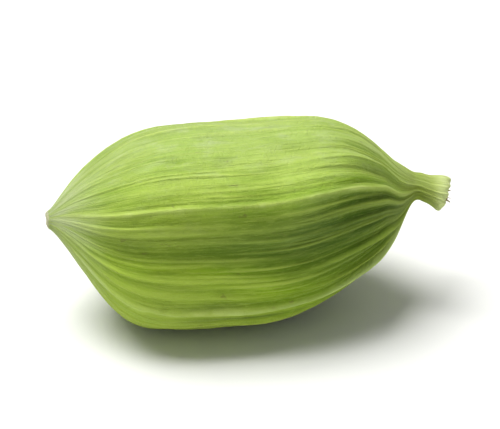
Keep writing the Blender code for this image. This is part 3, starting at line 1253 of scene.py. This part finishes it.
    def scar_profile(self) -> tuple[np.ndarray, np.ndarray]:
        """The rows of the scar, which stands out most at its brim.

        Returns:
            x and radius of each, from the middle to the edge.
        """
        out = np.linspace(0.0, 1.0, self.scar_rows, endpoint=False)
        risen = np.sin(math.pi * out**self.scar_swell_power) ** self.scar_round_power
        falling = np.cos((out - self.scar_brim) / (1 - self.scar_brim) * math.pi / 2)
        proud = np.where(out > self.scar_brim, falling, from_least(self.scar_middle, risen))
        radius = self.shape.scar_radius * np.maximum(self.smallest_ring, out**self.scar_spread_power)
        return -self.shape.scar_length * proud, radius

    def veins(self) -> list[Crest]:
        """Thin veins, a few between each rib or seam and the next.

        Returns:
            Their top lines, in order round the pod.
        """
        draw = random.Random(self.vein_seed)
        crests = self.shape.crests()
        veins = []
        for crest, following in zip(crests, crests[1:] + crests[:1]):
            gap = (following.angle - crest.angle) % math.tau
            for place in range(1, self.veins_between + 1):
                jitter = draw.uniform(-self.vein_jitter, self.vein_jitter)
                angle = crest.angle + gap * (place + jitter) / (self.veins_between + 1)
                height = self.vein_height * draw.uniform(*self.vein_heights)
                veins.append(Crest(angle, height, self.vein_unevenness, draw.uniform(0, math.tau)))
        return veins

    def ridges(self, crests: list[Crest], grid: HuskGrid, width: float, broad_share: float) -> Relief:
        """Ribs, seams or veins over the whole grid.

        Args:
            crests: Their top lines, in order round the pod.
            grid: The grid.
            width: How wide the sharp top of each is.
            broad_share: How much of its height is a broad swell, which reaches half way to its neighbours.

        Returns:
            Their relief.
        """
        shape = self.shape
        relief = Relief.flat(grid.shape)
        base = np.array([crest.angle for crest in crests])
        heights = np.array([crest.height for crest in crests])
        uneven = np.array([crest.unevenness for crest in crests])
        phases = np.array([crest.phase for crest in crests])
        seams = uneven == 0
        rib_widths = 1 + self.ridge_width_change * np.sin(self.ridge_width_waves * phases)
        widths = width * np.where(seams, heights / self.slim_seam, rib_widths)
        lags = self.crest_lag * np.arange(len(crests))
        angle = grid.angle[0]
        rows = zip(grid.x.ravel(), grid.radius.ravel(), grid.fullness(shape.full_relief_radius).ravel())
        for row, (at, size, narrowing) in enumerate(rows):
            along = at / shape.body_length
            sway = self.crest_wander * np.sin(math.tau * (self.crest_waves * along + lags)) * ~seams
            places = base + sway
            turned = places[0] + (angle - places[0]) % math.tau
            after = np.searchsorted(places, turned, side="right")
            before = after - 1
            after = after % len(crests)
            gap = (places[after] - places[before]) % math.tau
            part = (turned - places[before]) / gap
            nearest = np.where(part < 0.5, before, after)
            off = np.minimum(part, 1 - part)
            ridge = bell(off * gap * size, widths[nearest])
            swells = 1 + uneven * np.sin(math.tau * shape.rib_swells * along + phases)
            gathered = 1 + shape.gather_height * bell(at - shape.gather_at, shape.gather_reach)
            strength = heights * swells * gathered
            share = broad_share * (1 - 2 * off) ** self.swell_power + (1 - broad_share) * ridge
            relief.height[row] = share * strength[nearest] * narrowing
            relief.crest[row] = ridge * np.minimum(1.0, strength[nearest] / self.strong_rib)
            relief.seam[row] = ridge * seams[nearest]
            between = (strength[before] + strength[after]) / 2
            depth = np.minimum(self.darkest_groove_shade, between / self.strong_rib)
            # Painted shade, darkest midway between two ribs and weaker at the neck.
            relief.groove_shade[row] = (2 * off) ** 2 * depth * from_least(self.groove_shade_at_neck, narrowing)
        return relief

    def texture(self, grid: HuskGrid) -> Texture:
        """How the husk dried: what varies over it by chance, and its dents and calm patches.

        Args:
            grid: The grid.

        Returns:
            The texture.
        """
        x, angle, along = grid.x, grid.angle, grid.x / self.shape.length
        calm = 1 - patches_at(self.calm, x, angle)
        fine = self.fine_ribs.at(angle, along) + self.fibres.at(angle, along)
        fine = fine + self.creases.at(angle, along)
        unbroken = np.clip(1 + self.breaks.at(angle, along), self.weakest_rib, 2 - self.weakest_rib)
        dents = patches_at(self.shape.dents, x, angle) + self.pocks_at(x, angle)
        return Texture(
            fine=fine * calm,
            wrinkles=self.wrinkles.at(angle, along) * calm,
            broad=self.seed_swells.at(angle, along) + self.broad_dents.at(angle, along),
            dents=dents * grid.fullness(self.shape.body_radius),
            unbroken=unbroken * from_least(self.calm_breaks, calm),
            calm=calm,
        )

    def pocks_at(self, x: np.ndarray, angle: np.ndarray) -> np.ndarray:
        """Small pocks, strewn over the husk.

        Args:
            x: Place of each point along the pod.
            angle: Its angle round the pod.

        Returns:
            How far they sink the husk at each point.
        """
        draw = np.random.default_rng(self.pock_seed)
        lengthways, crossways = self.pock_stretch
        total = np.zeros(np.broadcast(x, angle).shape)
        for _ in range(self.pock_count):
            at = draw.uniform(*self.pock_places) * self.shape.body_length
            reach = self.pock_reach * draw.uniform(*self.pock_reaches)
            away = turn_between(angle, draw.uniform(0.0, math.tau)) * self.shape.body_radius
            depth = self.pock_depth * draw.uniform(*self.pock_depths)
            total += depth * bell(x - at, lengthways * reach) * bell(away, crossways * reach)
        return total

    def points(self, grid: HuskGrid, ribs: Relief, veins: Relief, texture: Texture) -> np.ndarray:
        """Where the husk's surface is.

        Args:
            grid: The grid.
            ribs: Relief of the ribs and seams.
            veins: Relief of the veins.
            texture: How the husk dried.

        Returns:
            The point at each row and column, before the pod is set over the frame.
        """
        shape, x, angle, unbroken = self.shape, grid.x, grid.angle, texture.unbroken
        turned = shape.angle_along(x, angle)
        worn = 1 - shape.rubbed_low(x, turned)
        fullness = grid.fullness(shape.body_radius)
        seam_share = from_least(self.seam_evenness, unbroken)
        rib_share = unbroken * from_least(self.calm_ribs, texture.calm)
        height = np.where(ribs.seam > 0, seam_share, rib_share) * ribs.height + veins.height * (2 - unbroken)
        small = height + (texture.fine + texture.wrinkles) * grid.fullness(shape.full_relief_radius)
        out = grid.radius * (1 + shape.corners_at(angle) * fullness) - texture.dents
        out = out + small * worn + texture.broad * fullness**2 * worn
        to_rim = np.clip((x - shape.body_length) / shape.beak_length, 0.0, None) ** 2
        slant = shape.rim_slant * out * np.sin(turned) + shape.rim_wave * np.sin(shape.rim_waves * turned)
        slant = slant + self.rim_tear.at(angle, np.zeros((1, 1)))
        on_scar = np.clip(-x / shape.scar_length, 0.0, 1.0)
        bumps = self.scar_bumps.at(angle, grid.radius / shape.body_radius)
        back, lift = shape.spine_at(x)
        return np.stack([
            x + slant * to_rim + on_scar * bumps,
            back - out * np.cos(turned),
            lift + out * np.sin(turned),
        ], axis=-1)

    def kept_values(
        self, grid: HuskGrid, ribs: Relief, veins: Relief, texture: Texture,
    ) -> dict[Kept, np.ndarray]:
        """What the finish needs to know.

        Args:
            grid: The grid.
            ribs: Relief of the ribs and seams.
            veins: Relief of the veins.
            texture: How the husk dried.

        Returns:
            The numbers to keep, each over the whole grid or for its rows or columns.
        """
        unbroken, calm = texture.unbroken, texture.calm
        # Painted shade: darker in the grooves between ribs, in the hollows of wrinkles and in dents.
        wrinkle_shade = np.clip(-texture.wrinkles / self.deep_wrinkle, 0.0, 1.0)
        sunk_shade = wrinkle_shade + np.clip(texture.dents / self.deep_dent, 0.0, self.darkest_dent)
        groove_shade = ribs.groove_shade * unbroken * calm + self.sunk_shade_share * sunk_shade
        from_lower_seam = turn_between(grid.angle, self.shape.lower_seam)
        return {
            Kept.CREST: ribs.crest * unbroken * from_least(self.calm_breaks, calm),
            Kept.VEIN: veins.height / self.vein_height * (2 - unbroken) * calm,
            Kept.SEAM: ribs.seam,
            Kept.LOWER_SEAM: bell(from_lower_seam, self.lower_seam_spread),
            Kept.SHADE_IN_GROOVES: groove_shade * np.clip(1 - grid.inside, 0.0, 1.0),
            Kept.INSIDE: grid.inside,
            Kept.ALONG: grid.x / self.shape.length,
            # Painted light and shade in patches.
            Kept.LIGHT_AND_SHADE: patches_at(self.painted_light_and_shade, grid.x, grid.angle),
            # Where the top gets its dust and painted sheen.
            Kept.DUST_AND_SHEEN_TOP: bell(turn_between(grid.angle, self.dust_and_sheen_angle), self.dust_and_sheen_spread),
        }

    def keep(self, husk: bpy.types.Object, values: dict[Kept, np.ndarray], grid: HuskGrid) -> None:
        """Keeps numbers, and the place in the grain, at each point of the mesh.

        Args:
            husk: The husk.
            values: The numbers.
            grid: The grid.
        """
        for kept, value in values.items():
            spread = np.broadcast_to(value, grid.shape)
            layer = husk.data.attributes.new(kept.value, "FLOAT", "POINT")
            middles = [spread[0].mean(), spread[-1].mean()]
            layer.data.foreach_set("value", np.append(spread.ravel(), middles))
        out = np.cos(grid.angle) * self.shape.body_radius / MM
        up = np.sin(grid.angle) * self.shape.body_radius / MM
        grain = np.stack(np.broadcast_arrays(grid.x / MM, out, up), axis=-1).reshape(-1, 3)
        layer = husk.data.attributes.new(Kept.GRAIN.value, "FLOAT_VECTOR", "POINT")
        layer.data.foreach_set("vector", np.vstack([grain, grain[:1], grain[-1:]]).ravel())

    def offset_over_frame(self, points: np.ndarray) -> np.ndarray:
        """The move that sets the pod over the frame's solid, so low that the flat spot can be pressed.

        Args:
            points: The points of the surface.

        Returns:
            The move, as x, y and z.
        """
        low, high = (np.array(corner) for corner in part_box(NODE))
        flat = points.reshape(-1, 3)
        lowest, highest = flat.min(axis=0), flat.max(axis=0)
        offset = (low + high) / 2 - (lowest + highest) / 2
        offset[2] = low[2] - lowest[2] - self.shape.spot_depth
        return offset

    @staticmethod
    def rest_on_spot(points: np.ndarray) -> np.ndarray:
        """Presses the lowest points flat on the level that the frame's solid rests on."""
        points[..., 2] = np.maximum(points[..., 2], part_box(NODE)[0][2])
        return points

    @staticmethod
    def closed_mesh(name: str, points: np.ndarray) -> bpy.types.Object:
        """Closes a grid of points that goes round the pod with a point in the middle of each end.

        Args:
            name: Name of the object.
            points: Points by row and column.

        Returns:
            The object, with smooth faces.
        """
        rows, columns = points.shape[:2]
        ends = [points[0].mean(axis=0), points[-1].mean(axis=0)]
        index = np.arange(rows * columns).reshape(rows, columns)
        following = np.roll(index, -1, axis=1)
        quads = np.stack([index[:-1], following[:-1], following[1:], index[1:]], axis=-1).reshape(-1, 4)
        first, last = rows * columns, rows * columns + 1
        faces = [tuple(quad) for quad in quads.tolist()]
        faces += [(int(a), first, int(b)) for a, b in zip(following[0], index[0])]
        faces += [(int(a), last, int(b)) for a, b in zip(index[-1], following[-1])]
        ob = place_mesh(name, np.vstack([points.reshape(-1, 3), ends]).tolist(), faces)
        ob.data.validate()
        ob.data.shade_smooth()
        return ob


@dataclass
class FlowerShreds:
    """Dry shreds of the flower, which stand in the hollow end of the beak and curl over its rim.

    A pair is the range that each shred's own number is drawn from.
    """

    shape: PodShape
    finish: ShredFinish = ShredFinish()
    count: int = 13
    jitter: float = 0.3
    width: float = 0.2 * MM
    thickness: float = 0.022 * MM
    lengths: Pair = (0.34 * MM, 0.66 * MM)
    foot_depth: float = 0.8
    bends: Pair = (1.2, 1.9)
    foot_out: float = 0.45
    lean_out: float = 0.4
    curl: float = 0.34 * MM
    curls: Pair = (-0.4, 1.0)
    sway: float = 0.7
    twist: float = 1.2
    taper: float = 0.75
    taper_power: float = 1.5
    edge_wave: float = 0.25
    edge_waves: int = 9
    sharp_angle: float = 40 * DEGREE
    steps: int = 12
    seed: int = 31

    def build(self, offset: np.ndarray) -> bpy.types.Object:
        """Makes the shreds.

        Args:
            offset: The husk's move over the frame.

        Returns:
            One object that holds every shred.
        """
        draw = np.random.default_rng(self.seed)
        points, faces = [], []
        for place in range(self.count):
            angle = math.tau * (place + draw.uniform(-self.jitter, self.jitter)) / self.count
            strip = self._strip(angle, draw) + offset
            first = len(points)
            points += strip.reshape(-1, 3).tolist()
            for ring in range(len(strip) - 1):
                start = first + 4 * ring
                sides = ((start + i, start + (i + 1) % 4) for i in range(4))
                faces += [(low, high, high + 4, low + 4) for low, high in sides]
            last = first + 4 * (len(strip) - 1)
            faces += [(first + 3, first + 2, first + 1, first), (last, last + 1, last + 2, last + 3)]
        shreds = place_mesh("flower_shreds", points, faces)
        shreds.data.shade_smooth()
        shreds.data.set_sharp_from_angle(angle=self.sharp_angle)
        return shreds

    def dress(self, shreds: bpy.types.Object, effects: PlantEffects) -> None:
        """Gives the shreds their finish."""
        shreds.data.materials.append(self.finish.make(effects))

    def _strip(self, angle: float, draw: np.random.Generator) -> np.ndarray:
        """One curled strip.

        Args:
            angle: Where it stands round the hollow.
            draw: Draws its own numbers.

        Returns:
            Rings of four corners, from near the floor of the hollow outwards.
        """
        shape = self.shape
        share = np.linspace(0.0, 1.0, self.steps)
        length = draw.uniform(*self.lengths)
        foot = shape.length - self.foot_depth * shape.hollow_depth
        x = foot + length * np.sin(share * draw.uniform(*self.bends))
        over_rim = np.clip(x - (shape.length - shape.lip), 0.0, None) / shape.lip
        away = shape.hollow_radius * (self.foot_out + self.lean_out * share)
        away = away + draw.uniform(*self.curls) * self.curl * over_rim
        turn = angle + draw.uniform(-self.sway, self.sway) * share**2
        twist = (draw.uniform(-self.twist, self.twist) * share)[:, None]
        wave = 1 + self.edge_wave * np.sin(self.edge_waves * share + angle)
        half_width = (self.width * (1 - self.taper * share**self.taper_power) * wave)[:, None] / 2
        back, lift = shape.spine_at(x)
        middle = np.stack([x, back - away * np.cos(turn), lift + away * np.sin(turn)], axis=-1)
        outward = np.stack([np.zeros_like(x), -np.cos(turn), np.sin(turn)], axis=-1)
        around = np.stack([np.zeros_like(x), np.sin(turn), np.cos(turn)], axis=-1)
        side = np.cos(twist) * around + np.sin(twist) * outward
        up = np.cross(np.gradient(middle, axis=0), side)
        up /= np.linalg.norm(up, axis=1)[:, None]
        to_edge, to_face = side * half_width, up * (self.thickness / 2)
        return np.stack([
            middle - to_edge - to_face,
            middle + to_edge - to_face,
            middle + to_edge + to_face,
            middle - to_edge + to_face,
        ], axis=1)


@dataclass
class Studio:
    """A plain pale floor, soft light from above, and the camera at the photograph's viewing angle."""

    azimuth: float = -8 * DEGREE
    elevation: float = 30 * DEGREE
    lens: float = 250.0
    sensor: float = 36.0
    nearest: float = 1 * MM
    fill: float = 0.82
    floor_side: float = 1.2
    floor_colour: Colour = (0.80, 0.80, 0.78)
    floor_roughness: float = 0.9
    lamp_place: Triple = (-0.08, 0.04, 0.27)
    lamp_side: float = 0.20
    lamp_power: float = 1.26
    surroundings: float = 0.33

    def floor(self) -> None:
        """Lays the floor under the pod."""
        half = self.floor_side / 2
        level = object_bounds()[0].z
        corners = [(-half, -half, level), (half, -half, level), (half, half, level), (-half, half, level)]
        ob = place_mesh("floor", corners, [(0, 1, 2, 3)])
        material, sheet, shader = start_material("pale_floor")
        sheet.feed(shader["Base Color"], self.floor_colour)
        sheet.feed(shader["Roughness"], self.floor_roughness)
        ob.data.materials.append(material)
        ob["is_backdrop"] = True

    def light(self) -> None:
        """Hangs one square soft lamp, and sets the pale surroundings."""
        low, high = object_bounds()
        middle = (low + high) / 2
        lamp = bpy.data.lights.new("key", "AREA")
        lamp.shape = "SQUARE"
        lamp.size = self.lamp_side
        lamp.energy = self.lamp_power
        ob = place_object("key", lamp)
        place = middle + Vector(self.lamp_place)
        ob.location = place
        ob.rotation_euler = (middle - place).to_track_quat("-Z", "Y").to_euler()
        world = bpy.data.worlds.new("pale_surroundings")
        world.use_nodes = True
        background = world.node_tree.nodes["Background"]
        background.inputs["Color"].default_value = (1.0, 1.0, 1.0, 1.0)
        background.inputs["Strength"].default_value = self.surroundings
        bpy.context.scene.world = world
        bpy.context.scene.view_settings.view_transform = "Standard"

    def camera(self) -> None:
        """Stands the camera where the pod fills most of the frame's width."""
        low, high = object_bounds()
        camera = bpy.data.cameras.new("camera")
        camera.lens = self.lens
        camera.sensor_width = self.sensor
        camera.clip_start = self.nearest
        away = (high.x - low.x) / self.fill * self.lens / self.sensor
        back = Vector((
            math.sin(self.azimuth) * math.cos(self.elevation),
            -math.cos(self.azimuth) * math.cos(self.elevation),
            math.sin(self.elevation),
        ))
        ob = place_object("camera", camera)
        ob.location = (low + high) / 2 + back * away
        ob.rotation_euler = (-back).to_track_quat("-Z", "Y").to_euler()
        bpy.context.scene.camera = ob


def report(piece: bpy.types.Object) -> None:
    """Logs the size of one piece.

    Args:
        piece: The piece.
    """
    triangles = sum(len(face.vertices) - 2 for face in piece.data.polygons)
    sides = " x ".join(f"{side / MM:.1f}" for side in piece.dimensions)
    log.info("%s: %s mm, %d triangles", piece.name, sides, triangles)


def main() -> None:
    """Builds and dresses the pod, and sets the stage round it."""
    logging.basicConfig(level=logging.INFO, format="%(name)s: %(message)s")
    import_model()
    effects = PlantEffects()
    shape = PodShape()
    skin = HuskSkin(shape)
    husk = skin.build()
    skin.dress(husk, effects)
    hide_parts(NODE)
    flower = FlowerShreds(shape)
    shreds = flower.build(skin.offset)
    flower.dress(shreds, effects)
    for piece in (husk, shreds):
        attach(piece, BODY)
    bpy.context.view_layer.update()
    report(husk)
    report(shreds)
    studio = Studio()
    studio.floor()
    studio.light()
    studio.camera()


if __name__ == "__main__":
    main()
